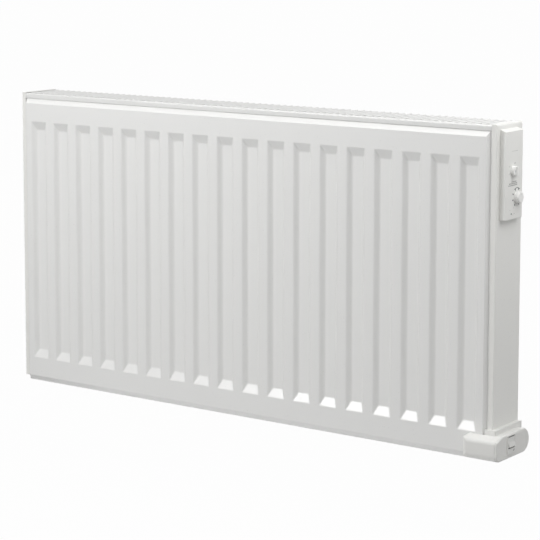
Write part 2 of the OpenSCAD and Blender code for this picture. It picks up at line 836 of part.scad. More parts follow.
// Light guide from the board to the face of the control box
module indicator_lens() {
    x0 = part_x + 5;
    color("darkseagreen") heater_frame()
        rod_x([x0, indicator_y, indicator_z], indicator_r, control_face_x + 0.3 - x0);
}

// Cable inside the right side cover, from the control tray to the terminal block
module harness() {
    x = casing_half - 8;
    y = gap_mid_y + 14;
    color("gainsboro") heater_frame() rod_z([x, y, terminal_z1()], 3, tray_z0 + 6 - terminal_z1());
}

function terminal_z1() = box_z + 10;

module harness_clips() {
    x = casing_half - 8;
    y = gap_mid_y + 14;
    color(plastic) heater_frame() for (z = [0.22, 0.42, 0.62] * panel_height) difference() {
        block([x - 5, y - 5, z - 4], [casing_half - cover_t, y + 5, z + 4]);
        rod_z([x, y, z - 5], 3.1, 10);
    }
}

// Outline of the connection box in Y and Z: round back, two rounded front corners,
// and a flat on the upper front edge
module box_profile(inset) {
    r = box_r - inset;
    difference() {
        union() {
            for (z = box_front_z) translate([box_front_y, z]) circle(r = box_front_r - inset, $fn = 64);
            translate([box_back_y, box_z]) circle(r = r, $fn = 64);
            translate([box_front_y, box_z - r]) square([box_back_y - box_front_y, 2 * r]);
            translate([inset - nose_out, box_front_z[0]])
                square([box_front_r, box_front_z[1] - box_front_z[0]]);
        }
        translate([box_front_y, box_front_z[1]]) rotate(box_flat_turn)
            translate([box_flat_out - inset, -20]) square([20, 40]);
    }
}

// The box's form along X, with its nose rounded in plan and in the front view
module box_form(inset, x0, x1) {
    r = box_nose_r - inset;
    y0 = inset - nose_out;
    y1 = box_back_y + box_r - inset;
    half_z = box_r - inset;
    intersection() {
        extrude_x(x0 + inset, x1) box_profile(inset);
        extrude_y(y0 - 1, y1 + 1) mirror([1, 0])
            round_end(-x1 - 1, -x0 - inset, box_z - half_z, box_z + half_z, box_side_r - inset);
        extrude_z(0, box_z + box_r + 1) {
            translate([x0 + inset + r, y0]) square([x1 - x0 - inset - r, y1 - y0]);
            translate([x0 + inset, y0 + r]) square([x1 - x0 - inset, y1 - y0 - r]);
            translate([x0 + inset + r, y0 + r]) circle(r = r, $fn = smooth);
        }
    }
}

// Space that the heater itself takes inside the box
module heater_space(inset) {
    block([nose_x - 5, -inset, -5], [casing_half + inset, cover_back + 30, 60]);
}

function connection_screw_places() = [[way_y0 - 4.6, box_z - 11], [way_y1 + 7.4, box_z - 11]];

// Housing round the lower right corner, open at its end, with the collar above it
module connection_box() {
    x1 = box_end_x - box_cap_t;
    color(plastic) heater_frame() difference() {
        union() {
            difference() {
                box_form(0, nose_x, x1);
                heater_space(0);
            }
            collar();
        }
        difference() {
            box_form(plastic_t, nose_x, x1 + 1);
            heater_space(plastic_t);
        }
        // way through to the inside of the side cover
        block([casing_half - 1, way_y0, way_z0],
            [casing_half + plastic_t + 1, way_y1, box_z + box_r - plastic_t]);
        for (p = connection_screw_places())
            rod_x([casing_half - 1, p[0], p[1]], screw_r + 0.1, plastic_t + 2);
        // hole for the gland in the back
        rod_y([gland_x, box_back_y, gland_z], gland_r, 30);
    }
}

// Raised lip that closes the box against the side cover
module collar() {
    z1 = box_z + box_r + collar_h;
    difference() {
        union() {
            block([collar_x0, 0, box_z], [casing_half + collar_t, cover_front, z1]);
            block([casing_half, 0, box_z], [casing_half + collar_t, collar_back_y, z1]);
        }
        block([collar_x0 - 1, -1, 0], [casing_half + 1, press_depth, box_z + box_r - 5]);
        block([casing_half - 1, -1, 0], [casing_half + collar_t + 1, collar_back_y + 1, box_z + box_r - 4]);
    }
}

// Half section of the box's end: a plate of width r and thickness t with a rounded rim
module rim_section(r, t, rim) {
    square([r - rim, t]);
    square([r, t - rim]);
    intersection() {
        translate([r - rim, t - rim]) circle(r = rim, $fn = 40);
        square([r, t]);
    }
}

// Turned part of the rim: its centre in Y and Z, start angle, angle and radius
module rim_turn(x0, y, z, start, angle, r) {
    translate([x0, y, z]) rotate([0, 90, 0]) rotate([0, 0, start])
        rotate_extrude(angle = angle, $fn = 64) rim_section(r, box_end_x - x0, box_rim);
}

// End of the box with a rounded rim: turned back and front corners, bars between them, and the flat
module round_cap(x0) {
    x1 = box_end_x;
    rim = box_rim;
    difference() {
        union() {
            rim_turn(x0, box_back_y, box_z, 0, 180, box_r);
            rim_turn(x0, box_front_y, box_front_z[0], 270, 90, box_front_r);
            rim_turn(x0, box_front_y, box_front_z[1], 180, 90, box_front_r);
            extrude_y(box_front_y, box_back_y) translate([x0, box_z])
                for (m = [0, 1]) mirror([0, m]) mirror([1, -1]) rim_section(box_r, x1 - x0, rim);
            extrude_z(box_front_z[0], box_front_z[1]) translate([x0, box_front_y])
                mirror([0, 1]) mirror([1, -1]) rim_section(box_front_r, x1 - x0, rim);
        }
        translate([0, box_front_y, box_front_z[1]]) rotate([box_flat_turn, 0, 0]) extrude_z(-20, 20)
            polygon([[x0 - 1, box_flat_out], [x1 - rim, box_flat_out],
                [x1 - 0.3 * rim, box_flat_out - 0.3 * rim],
                [x1, box_flat_out - rim], [x1 + 1, box_flat_out - rim - 1], [x1 + 1, box_flat_out + 9],
                [x0 - 1, box_flat_out + 9]]);
    }
}

// Flat end of the box, with the opening for the switch
module connection_end_cover() {
    x0 = box_end_x - box_cap_t;
    color(plastic) heater_frame() difference() {
        union() {
            round_cap(x0);
            extrude_x(x0 - cap_lip, x0 + eps) box_profile(plastic_t + 0.2);
        }
        extrude_x(x0 - cap_lip - 1, x0) box_profile(plastic_t + 1.7);
        switch_opening(0.15);
    }
}

// Hole for the body of the switch
module switch_opening(gap) {
    block([box_end_x - switch_depth - 5, switch_y0() - gap, switch_z0() - gap],
        [box_end_x + 5, switch_y1() + gap, switch_z1() + gap]);
}

function switch_y0() = rocker_y - rocker_w / 2 - switch_wall;
function switch_y1() = rocker_y + rocker_w / 2 + switch_wall;
function switch_z0() = rocker_z - rocker_h / 2 - bezel_bottom + 1.5;
function switch_z1() = rocker_z + rocker_h / 2 + switch_wall;

// Bezel and body of the rocker switch
module switch_body() {
    x1 = box_end_x + bezel_t;
    color(plastic) heater_frame() difference() {
        union() {
            block([box_end_x, rocker_y - rocker_w / 2 - bezel_front, rocker_z - rocker_h / 2 - bezel_bottom],
                [x1, rocker_y + rocker_w / 2 + bezel_back, rocker_z + rocker_h / 2 + bezel_top]);
            block([box_end_x - switch_depth, switch_y0(), switch_z0()],
                [box_end_x + eps, switch_y1(), switch_z1()]);
        }
        block([box_end_x - 12, rocker_y - rocker_w / 2, rocker_z - rocker_h / 2],
            [x1 + 1, rocker_y + rocker_w / 2, rocker_z + rocker_h / 2]);
        rod_y([rocker_pivot_x, switch_y0() - 1, rocker_z], pin_r + 0.06, rocker_w + 2 * switch_wall + 2);
    }
}

module switch_terminals() {
    x = box_end_x - switch_depth;
    color("goldenrod") heater_frame() for (y = [-5, 5]) for (z = [-5, 5])
        block([x - 8, rocker_y + y - 0.4, rocker_z - 3 + z - 2.4],
            [x, rocker_y + y + 0.4, rocker_z - 3 + z + 2.4]);
}

// Rocker on its two pins. At rest its upper half is pressed in.
module rocker() {
    half = rocker_half_h;
    width = rocker_w - 2 * rocker_gap;
    place = [rocker_pivot_x, rocker_y, rocker_z];
    color(plastic) heater_frame() translate(place) rotate([0, -rocker_tilt, 0]) {
        extrude_y(-width / 2, width / 2)
            polygon([[-6, -4], [-2, -half + 0.5], [3.9, -half], [2.7, 0], [3.9, half],
                [-2, half - 0.5], [-6, 4]]);
        rod_y([0, -width / 2 - switch_wall, 0], pin_r, width + 2 * switch_wall);
    }
}

// Screw terminal block inside the side cover
module terminal_block() {
    y0 = terminal_y0();
    x1 = casing_half - cover_t - 1;
    color("ivory") heater_frame() difference() {
        block([x1 - 13, y0, terminal_z1() - 22], [x1, y0 + 14, terminal_z1()]);
        for (i = [0:2]) rod_x([x1 - 8, y0 + 5, terminal_z1() - 18 + i * 7], 1.8, 10);
    }
}

module connection_screws() {
    color(steel) heater_frame() for (p = connection_screw_places()) {
        rod_x([casing_half + plastic_t, p[0], p[1]], 2.8, 2);
        rod_x([casing_half - 4, p[0], p[1]], screw_r, 4 + plastic_t);
    }
}

// Inlet for the mains cable in the back of the connection box
module cable_gland() {
    color("gainsboro") heater_frame() difference() {
        union() {
            rod_y([gland_x, gland_y - 8, gland_z], gland_r - 0.1, 12);
            rod_y([gland_x, gland_y, gland_z], nut_r, 5);
        }
        rod_y([gland_x, gland_y - 9, gland_z], cable_r, 16);
    }
}

// Nut of the gland inside the box, against the box's curved back
module gland_nut() {
    y = box_back_y + sqrt(pow(box_r - plastic_t, 2) - pow(nut_r, 2)) - nut_t - 0.05;
    color("gainsboro") heater_frame() difference() {
        translate([gland_x, y, gland_z]) rotate([-90, 30, 0]) cylinder(r = nut_r, h = nut_t, $fn = 6);
        rod_y([gland_x, y - 1, gland_z], gland_r, nut_t + 2);
    }
}

// Room sensor in the nose of the connection box
module room_sensor() {
    half = 3;
    y = -plastic_t - half - 1.5;
    inner_r = box_front_r - plastic_t;
    z0 = box_front_z[0] - sqrt(pow(inner_r, 2) - pow(max(0, box_front_y - y + half), 2)) + 0.3;
    color("dimgray") heater_frame() {
        block([nose_x + 10, y - half, z0], [nose_x + 22, y + half, box_z - 6]);
        rod_x([nose_x + 8, y, box_z - 4], 2.5, 20);
    }
}

front_panel_face();
front_panel_back();
convector_fins();
rear_panel_face();
rear_panel_back();
heater_pipe();
upper_link_pipes();
fill_plugs();
heating_element();
element_plug();
element_leads();
thermal_cutout();
top_grille();
grille_clips();
side_cover_left();
side_cover_right();
cover_clips();
hanger_lugs();
wall_bracket_left();
wall_bracket_right();
hook_pads();
control_cover();
control_tray();
control_board();
control_relay();
control_screws();
mode_switch();
mode_shaft();
mode_knob();
temperature_pot();
temperature_shaft();
temperature_knob();
indicator_lens();
harness();
harness_clips();
connection_box();
connection_end_cover();
switch_body();
switch_terminals();
rocker();
terminal_block();
connection_screws();
cable_gland();
gland_nut();
room_sensor();
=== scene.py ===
"""Dresses the electric panel heater: enamel, plastics, printed scales, light and camera."""

import math

import bmesh
import bpy
from bpy.props import FloatProperty, FloatVectorProperty, IntProperty, PointerProperty
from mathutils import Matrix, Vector


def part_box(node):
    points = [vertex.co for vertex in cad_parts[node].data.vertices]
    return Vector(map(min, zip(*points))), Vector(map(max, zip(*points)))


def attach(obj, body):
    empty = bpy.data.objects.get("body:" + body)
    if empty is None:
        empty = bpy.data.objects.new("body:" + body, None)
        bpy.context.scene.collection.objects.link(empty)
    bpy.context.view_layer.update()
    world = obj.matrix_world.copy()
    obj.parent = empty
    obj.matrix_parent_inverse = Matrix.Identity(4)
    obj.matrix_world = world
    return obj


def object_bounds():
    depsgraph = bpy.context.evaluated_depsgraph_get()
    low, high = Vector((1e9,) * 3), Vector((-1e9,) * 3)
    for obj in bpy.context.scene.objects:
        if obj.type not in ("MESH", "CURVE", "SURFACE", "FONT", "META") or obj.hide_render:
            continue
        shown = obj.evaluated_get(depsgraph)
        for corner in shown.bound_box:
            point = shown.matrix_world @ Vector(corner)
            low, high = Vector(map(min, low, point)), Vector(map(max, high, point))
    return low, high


bl_info = {
    "name": "Electric Panel Heater Dress",
    "version": (1, 0, 0),
    "blender": (4, 5, 0),
    "location": "3D View > Sidebar > Heater",
    "description": "Finishes, printed scales, light and camera for an electric panel heater",
    "category": "Object",
}

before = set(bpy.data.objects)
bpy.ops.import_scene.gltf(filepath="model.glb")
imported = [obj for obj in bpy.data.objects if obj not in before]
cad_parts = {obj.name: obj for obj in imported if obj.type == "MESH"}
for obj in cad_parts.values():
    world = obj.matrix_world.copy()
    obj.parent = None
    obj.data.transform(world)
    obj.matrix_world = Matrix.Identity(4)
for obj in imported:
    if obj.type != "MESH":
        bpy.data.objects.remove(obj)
CAD_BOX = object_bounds()

PRESSED_SHEETS = ("front_panel_face", "front_panel_back", "rear_panel_face", "rear_panel_back")
BENT_SHEETS = (
    "side_cover_left", "side_cover_right", "heater_pipe", "upper_link_pipes", "hanger_lugs",
)
HOUSINGS = (
    "control_cover", "control_tray", "connection_end_cover", "cable_gland", "gland_nut",
    "harness_clips",
)
KNOBS = ("mode_knob", "temperature_knob")
SWITCH_PARTS = ("switch_body", "rocker")
PLATED_STEEL = (
    "convector_fins", "grille_clips", "cover_clips", "wall_bracket_left", "wall_bracket_right",
    "control_screws", "mode_shaft", "temperature_shaft", "connection_screws",
)
BRASS_PARTS = ("fill_plugs", "element_plug", "switch_terminals")
DARK_MOULDINGS = ("thermal_cutout", "hook_pads", "mode_switch", "temperature_pot", "room_sensor")

# All lengths are in metres. X, Y and Z are axis numbers.
X, Y, Z = 0, 1, 2
UPRIGHT = math.pi / 2       # turn of a printed bar that stands up
EDGE_SAMPLES = 10           # rays of each softly lit edge
RIM_WIDTH = 0.014           # border of a pressed sheet that keeps tight bends
RIM_EASE = 0.002            # length over which the bends widen inside it
CAP_STEPS = 6               # sides of a printed bar's rounded end
ARC_STEPS = 14              # slabs of a printed arc
WELD_DISTANCE = 1e-7        # points of the marks that are closer than this are one

# Bars of the temperature scale: length and width. The arc over them: its distance outside
# the bars' radius, its width and its two ends.
SCALE_BAR = (0.0034, 0.0019)
SCALE_ARC_GAP = 0.0016
SCALE_ARC_WIDTH = 0.0009
SCALE_ARC_ENDS = (math.radians(52), math.radians(124))
# Signs of the modes: number of bars and angle of each sign, then a bar's length and width
MODE_SIGNS = ((1, 200), (2, 145), (3, 62))
MODE_BAR = (0.0022, 0.0008)
MODE_BAR_PITCH = 0.0018
# Mound of short bars between the knobs: each row's first step and the step it stops before,
# from the foot up, a bar's length and width, the steps along Y and Z, and the first bar's
# offset from the upper knob along Y and from halfway between the knobs along Z
HEAT_ROWS = ((0, 12), (1, 12), (4, 11))
HEAT_BAR = (0.0019, 0.0014)
HEAT_PITCH = (0.0022, 0.0026)
HEAT_START = (-0.0124, -0.0014)
# Line over the knobs: offset from the cover's middle and the upper knob, length and width
FINE_LINE = (0.0025, 0.0290, 0.0180, 0.0004)
# Small signs beside the indicator: offset from it along Y and Z, and length
SMALL_SIGNS = (
    (-0.0042, 0.0060, 0.0016), (0.0060, 0.0085, 0.0022),
    (0.0088, -0.0002, 0.0026), (0.0045, -0.0018, 0.0014),
)
SMALL_SIGN_WIDTH = 0.0007
# Pointer lines: knob, the body it rides on, and the line's height over the knob's middle,
# then a line's length and width
POINTERS = (
    ("mode_knob", "mode_dial", 0.0030),
    ("temperature_knob", "temperature_dial", 0.0052),
)
POINTER_BAR = (0.0040, 0.0008)
# Mark under the rocker: share of the switch's depth, height over its foot, length, width, turn
SWITCH_MARK = (0.70, 0.0044, 0.0050, 0.0026, math.radians(20))

FLOOR_REACH = 30.0          # half of the floor's side
FLOOR_WHITE = 0.98          # share of plain white in the floor as the camera sees it
# Lamps: name, power setting, place, aim, and the two sides of the rectangle
LAMPS = (
    ("overhead_lamp", "overhead", (0.0, -0.3, 2.2), (0.0, -0.1, 0.0), (2.6, 2.6)),
    ("strip_lamp", "strip", (0.0, -0.37, 0.56), (0.0, -0.10, 0.20), (1.3, 0.12)),
    ("softbox", "softbox", (-0.575, -1.33, 0.72), (0.27, -0.10, -0.20), (0.78, 0.45)),
    ("side_lamp", "side", (0.86, -0.05, 0.62), (0.47, -0.05, 0.12), (0.3, 0.5)),
    ("fill_lamp", "fill", (1.75, -2.15, 1.9), (0.1, -0.1, 0.1), (1.4, 1.2)),
    ("low_lamp", "low_lamp", (0.04, -0.112, -0.366), (0.04, -0.112, -0.25), (0.88, 0.05)),
)


class HeaterFinish(bpy.types.PropertyGroup):
    """Colours and surface grain of the heater's parts"""

    enamel: FloatVectorProperty(
        name="Enamel", description="Colour of the powder coat on the sheet metal",
        default=(0.81, 0.81, 0.797), subtype="COLOR", size=3, min=0.0, max=1.0)
    casing: FloatVectorProperty(
        name="Casing", description="Colour of the powder coat on the casing, a little warmer",
        default=(0.815, 0.813, 0.785), subtype="COLOR", size=3, min=0.0, max=1.0)
    plastic: FloatVectorProperty(
        name="Plastic", description="Colour of the white housings",
        default=(0.83, 0.828, 0.803), subtype="COLOR", size=3, min=0.0, max=1.0)
    knob: FloatVectorProperty(
        name="Knobs", description="Colour of the two knobs",
        default=(0.92, 0.92, 0.90), subtype="COLOR", size=3, min=0.0, max=1.0)
    print_ink: FloatVectorProperty(
        name="Print", description="Colour of the printed scales",
        default=(0.030, 0.036, 0.045), subtype="COLOR", size=3, min=0.0, max=1.0)
    pale_ink: FloatVectorProperty(
        name="Pale Print", description="Colour of the fainter signs",
        default=(0.34, 0.34, 0.33), subtype="COLOR", size=3, min=0.0, max=1.0)
    peel_depth: FloatProperty(
        name="Coat Ripple", description="Depth of the powder coat's ripple",
        default=0.000003, min=0.0, max=0.001, subtype="DISTANCE", unit="LENGTH", precision=6)
    press_radius: FloatProperty(
        name="Press Radius", description="Radius of the pressed edges as the light shows them",
        default=0.0034, min=0.0, max=0.01, subtype="DISTANCE", unit="LENGTH", precision=4)
    bend_radius: FloatProperty(
        name="Bend Radius", description="Radius of the casing's bends as the light shows them",
        default=0.0010, min=0.0, max=0.01, subtype="DISTANCE", unit="LENGTH", precision=4)


class HeaterMarks(bpy.types.PropertyGroup):
    """Sizes of the printed scales on the control box"""

    scale_radius: FloatProperty(
        name="Scale Radius", description="Radius of the marks round the lower knob",
        default=0.0124, min=0.010, max=0.020, subtype="DISTANCE", unit="LENGTH", precision=4)
    scale_steps: IntProperty(
        name="Scale Marks", description="Number of marks round the lower knob",
        default=8, min=3, max=25)
    scale_sweep: FloatProperty(
        name="Scale Sweep", description="Half of the angle that the marks cover",
        default=math.radians(150), min=0.5, max=3.0, subtype="ANGLE", unit="ROTATION")
    mode_radius: FloatProperty(
        name="Mode Radius", description="Radius of the signs round the upper knob",
        default=0.0122, min=0.008, max=0.020, subtype="DISTANCE", unit="LENGTH", precision=4)
    ink_height: FloatProperty(
        name="Ink Height", description="Height of a printed mark over its face",
        default=0.00006, min=0.00001, max=0.0005, subtype="DISTANCE", unit="LENGTH", precision=5)


class HeaterStage(bpy.types.PropertyGroup):
    """Camera, lamps and floor"""

    lens: FloatProperty(
        name="Focal Length", description="Focal length of the camera in millimetres",
        default=133.9, min=20.0, max=300.0)
    camera_place: FloatVectorProperty(
        name="Camera Place", description="Where the camera stands",
        default=(1.8975, -2.652, 0.5533), subtype="XYZ", unit="LENGTH", size=3)
    camera_turn: FloatVectorProperty(
        name="Camera Turn", description="Pitch, roll and yaw of the camera",
        default=(math.radians(90 - 6.97), math.radians(-0.03), math.radians(35.73)),
        subtype="EULER", size=3)
    camera_shift: FloatProperty(
        name="Camera Shift", description="Vertical shift of the picture",
        default=-0.20, min=-0.5, max=0.5)
    sky: FloatProperty(
        name="Sky", description="Strength of the even light from all sides",
        default=0.42, min=0.0, max=3.0)
    overhead: FloatProperty(
        name="Overhead Lamp", description="Power in watts of the wide lamp above the heater",
        default=15.0, min=0.0, max=500.0)
    strip: FloatProperty(
        name="Strip Lamp", description="Power in watts of the long lamp over the top edge",
        default=0.40, min=0.0, max=500.0)
    softbox: FloatProperty(
        name="Softbox", description="Power in watts of the lamp up on the left",
        default=8.6, min=0.0, max=500.0)
    side: FloatProperty(
        name="Side Lamp", description="Power in watts of the small lamp up on the right",
        default=1.9, min=0.0, max=500.0)
    fill: FloatProperty(
        name="Fill Lamp", description="Power in watts of the broad lamp on the right",
        default=11.4, min=0.0, max=500.0)
    low_lamp: FloatProperty(
        name="Low Lamp", description="Power in watts of the long lamp under the front edge",
        default=0.14, min=0.0, max=500.0)
    floor_drop: FloatProperty(
        name="Floor Drop", description="Height of the heater over the floor",
        default=0.12, min=0.0, max=1.0, subtype="DISTANCE", unit="LENGTH")


# ---- materials ----

class Shader:
    """A new material with its Principled shader and short calls to add nodes to it"""

    def __init__(self, name):
        self.material = bpy.data.materials.new(name)
        self.material.use_nodes = True
        self.tree = self.material.node_tree
        self.surface = self.tree.nodes["Principled BSDF"]
        self.place = self.add("ShaderNodeTexCoord").outputs["Object"]

    def add(self, kind, **values):
        """A new node with its own settings"""
        node = self.tree.nodes.new(kind)
        for key, value in values.items():
            setattr(node, key, value)
        return node

    def link(self, source, target):
        """Joins an output to an input"""
        self.tree.links.new(source, target)

    def noise(self, scale, detail, stretch=None):
        """Soft noise in the object's own metres, drawn out along an axis if asked"""
        node = self.add("ShaderNodeTexNoise")
        node.inputs["Scale"].default_value = scale
        node.inputs["Detail"].default_value = detail
        source = self.place
        if stretch:
            mapping = self.add("ShaderNodeMapping")
            mapping.inputs["Scale"].default_value = stretch
            self.link(self.place, mapping.inputs["Vector"])
            source = mapping.outputs["Vector"]
        self.link(source, node.inputs["Vector"])
        return node.outputs["Fac"]

    def ramp(self, factor, low, high, start=0.3, end=0.7):
        """A colour that goes from low to high as the factor goes from start to end"""
        node = self.add("ShaderNodeValToRGB")
        node.color_ramp.elements[0].position = start
        node.color_ramp.elements[1].position = end
        node.color_ramp.elements[0].color = (*low, 1.0)
        node.color_ramp.elements[1].color = (*high, 1.0)
        self.link(factor, node.inputs["Fac"])
        return node.outputs["Color"]

    def spread(self, factor, low, high):
        """A number between low and high"""
        node = self.add("ShaderNodeMapRange")
        node.inputs["To Min"].default_value = low
        node.inputs["To Max"].default_value = high
        self.link(factor, node.inputs["Value"])
        return node.outputs["Result"]

    def bump(self, height, distance, strength, normal=None):
        """A normal with the relief of a texture"""
        node = self.add("ShaderNodeBump")
        node.inputs["Distance"].default_value = distance
        node.inputs["Strength"].default_value = strength
        self.link(height, node.inputs["Height"])
        if normal:
            self.link(normal, node.inputs["Normal"])
        return node.outputs["Normal"]

    def soft_edges(self, radius):
        """A normal that turns softly over the edges"""
        node = self.add("ShaderNodeBevel", samples=EDGE_SAMPLES)
        node.inputs["Radius"].default_value = radius
        return node.outputs["Normal"]

    def within(self, channel, low_end, high_end, ease):
        """1 between two places along one axis of the object, falling to 0 outside them"""
        axes = self.add("ShaderNodeSeparateXYZ")
        self.link(self.place, axes.inputs["Vector"])
        centre = self.add("ShaderNodeMath", operation="SUBTRACT")
        centre.inputs[1].default_value = (low_end + high_end) / 2
        self.link(axes.outputs[channel], centre.inputs[0])
        away = self.add("ShaderNodeMath", operation="ABSOLUTE")
        self.link(centre.outputs[0], away.inputs[0])
        fall = self.add("ShaderNodeMapRange")
        half = (high_end - low_end) / 2
        fall.inputs["From Min"].default_value = half
        fall.inputs["From Max"].default_value = half + ease
        fall.inputs["To Min"].default_value = 1.0
        fall.inputs["To Max"].default_value = 0.0
        self.link(away.outputs[0], fall.inputs["Value"])
        return fall.outputs["Result"]

    def pressed_edges(self, radius, rim_radius, corners):
        """Softly lit edges, with a smaller radius on the rim of a pressed sheet"""
        both = self.add("ShaderNodeMath", operation="MULTIPLY")
        for k, (channel, axis) in enumerate((("X", X), ("Z", Z))):
            start, end = corners[0][axis] + RIM_WIDTH, corners[1][axis] - RIM_WIDTH
            self.link(self.within(channel, start, end, RIM_EASE), both.inputs[k])
        node = self.add("ShaderNodeBevel", samples=EDGE_SAMPLES)
        self.link(self.spread(both.outputs[0], rim_radius, radius), node.inputs["Radius"])
        return node.outputs["Normal"]

    def colour(self, source):
        """Gives the surface its base colour"""
        self.link(source, self.surface.inputs["Base Color"])

    def rough(self, source):
        """Gives the surface its roughness"""
        self.link(source, self.surface.inputs["Roughness"])

    def relief(self, source):
        """Gives the surface its normal"""
        self.link(source, self.surface.inputs["Normal"])

    def set(self, **values):
        """Sets the Principled shader's own sockets, with _ for a space in a name"""
        for key, value in values.items():
            self.surface.inputs[key.replace("_", " ")].default_value = value


def tint(colour, factor):
    """A colour made darker or lighter"""
    return tuple(min(1.0, channel * factor) for channel in colour)


def powder_coat(name, finish, colour, radius, corners=None):
    """White powder coat: a fine ripple, a faint drift in tone and softly lit bends"""
    s = Shader(name)
    s.colour(s.ramp(s.noise(60.0, 2.0), tint(colour, 0.995), colour, 0.0, 1.0))
    s.rough(s.spread(s.noise(500.0, 1.0), 0.27, 0.285))
    if corners:
        edges = s.pressed_edges(radius, finish.bend_radius, corners)
    else:
        edges = s.soft_edges(radius)
    s.relief(s.bump(s.noise(700.0, 1.0), finish.peel_depth, 0.4, edges))
    s.set(IOR=1.5, Specular_IOR_Level=0.85)
    return s.material


def moulded(name, colour, rough, grain, radius=0.0008):
    """Injection-moulded plastic with a fine spark-eroded grain"""
    s = Shader(name)
    s.colour(s.ramp(s.noise(25.0, 3.0), tint(colour, 0.98), colour))
    s.rough(s.spread(s.noise(400.0, 2.0), rough - 0.04, rough + 0.05))
    s.relief(s.bump(s.noise(2600.0, 2.0), grain, 0.5, s.soft_edges(radius)))
    s.set(IOR=1.47)
    return s.material


def plated_steel(name, colour, rough):
    """Zinc-plated or annealed steel with drawn streaks and spangle"""
    s = Shader(name)
    cells = s.add("ShaderNodeTexVoronoi")
    cells.inputs["Scale"].default_value = 140.0
    s.link(s.place, cells.inputs["Vector"])
    grey = s.add("ShaderNodeSeparateColor")
    s.link(cells.outputs["Color"], grey.inputs["Color"])
    s.colour(s.ramp(grey.outputs["Red"], tint(colour, 0.86), tint(colour, 1.06), 0.0, 1.0))
    s.rough(s.spread(s.noise(30.0, 4.0, (1.0, 1.0, 12.0)), rough - 0.08, rough + 0.12))
    s.relief(s.bump(s.noise(700.0, 3.0, (1.0, 1.0, 0.1)), 0.00003, 0.5))
    s.set(Metallic=1.0)
    return s.material


def turned_brass():
    """Brass with fine turning rings and a little tarnish"""
    s = Shader("turned_brass")
    s.colour(s.ramp(s.noise(90.0, 4.0), (0.48, 0.34, 0.13), (0.74, 0.56, 0.26)))
    s.rough(s.spread(s.noise(300.0, 2.0), 0.26, 0.42))
    s.relief(s.bump(s.noise(1500.0, 2.0, (1.0, 0.1, 0.1)), 0.00003, 0.5))
    s.set(Metallic=1.0)
    return s.material


def circuit_board():
    """Green solder mask with copper tracks under it"""
    s = Shader("circuit_board")
    tracks = s.add("ShaderNodeTexBrick", offset=0.5)
    tracks.inputs["Scale"].default_value = 220.0
    tracks.inputs["Mortar Size"].default_value = 0.06
    tracks.inputs["Color1"].default_value = (0.015, 0.12, 0.05, 1.0)
    tracks.inputs["Color2"].default_value = (0.02, 0.15, 0.06, 1.0)
    tracks.inputs["Mortar"].default_value = (0.05, 0.26, 0.09, 1.0)
    turn = s.add("ShaderNodeMapping")
    turn.inputs["Rotation"].default_value = (0.0, math.radians(90), 0.0)
    s.link(s.place, turn.inputs["Vector"])
    s.link(turn.outputs["Vector"], tracks.inputs["Vector"])
    s.colour(tracks.outputs["Color"])
    s.relief(s.bump(tracks.outputs["Fac"], 0.00003, 0.5))
    s.set(Roughness=0.35)
    return s.material


def cable_sheath(name, colour):
    """Soft sheath with a slight twist of the cores showing through"""
    s = Shader(name)
    waves = s.add("ShaderNodeTexWave", bands_direction="DIAGONAL")
    waves.inputs["Scale"].default_value = 40.0
    s.link(s.place, waves.inputs["Vector"])
    s.colour(s.ramp(waves.outputs["Fac"], tint(colour, 0.92), colour, 0.0, 1.0))
    s.relief(s.bump(waves.outputs["Fac"], 0.0001, 0.4))
    s.set(Roughness=0.5)
    return s.material


def tinted_lens():
    """Clear tinted light guide"""
    s = Shader("tinted_lens")
    s.colour(s.ramp(s.noise(800.0, 1.0), (0.30, 0.33, 0.31), (0.42, 0.45, 0.43)))
    s.set(Roughness=0.12, IOR=1.49, Coat_Weight=0.6)
    return s.material


def printed_ink(name, ink):
    """Pad-printed ink, slightly uneven"""
    s = Shader(name)
    s.colour(s.ramp(s.noise(1500.0, 3.0), ink, tint(ink, 1.5)))
    s.relief(s.bump(s.noise(3000.0, 1.0), 0.00001, 0.5))
    s.set(Roughness=0.55)
    return s.material


def seen_directly(tree):
    """1 for rays that show the background: from the camera, in a reflection or through glass"""
    path = tree.nodes.new("ShaderNodeLightPath")
    factor = path.outputs["Is Camera Ray"]
    for kind in ("Is Glossy Ray", "Is Transmission Ray"):
        either = tree.nodes.new("ShaderNodeMath")
        either.operation = "MAXIMUM"
        tree.links.new(factor, either.inputs[0])
        tree.links.new(path.outputs[kind], either.inputs[1])
        factor = either.outputs[0]
    return factor


def coat(nodes, material):
    """Gives CAD nodes a material"""
    for name in nodes:
        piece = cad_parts[name]
        if not piece.material_slots:
            raise RuntimeError("no material slot on " + name)
        for slot in piece.material_slots:
            slot.material = material


# ---- flat marks ----

def low(name, axis):
    """Lowest place of a node along an axis"""
    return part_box(name)[0][axis]


def high(name, axis):
    """Highest place of a node along an axis"""
    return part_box(name)[1][axis]


def middle(name, axis):
    """Middle of a node along an axis"""
    return (low(name, axis) + high(name, axis)) / 2


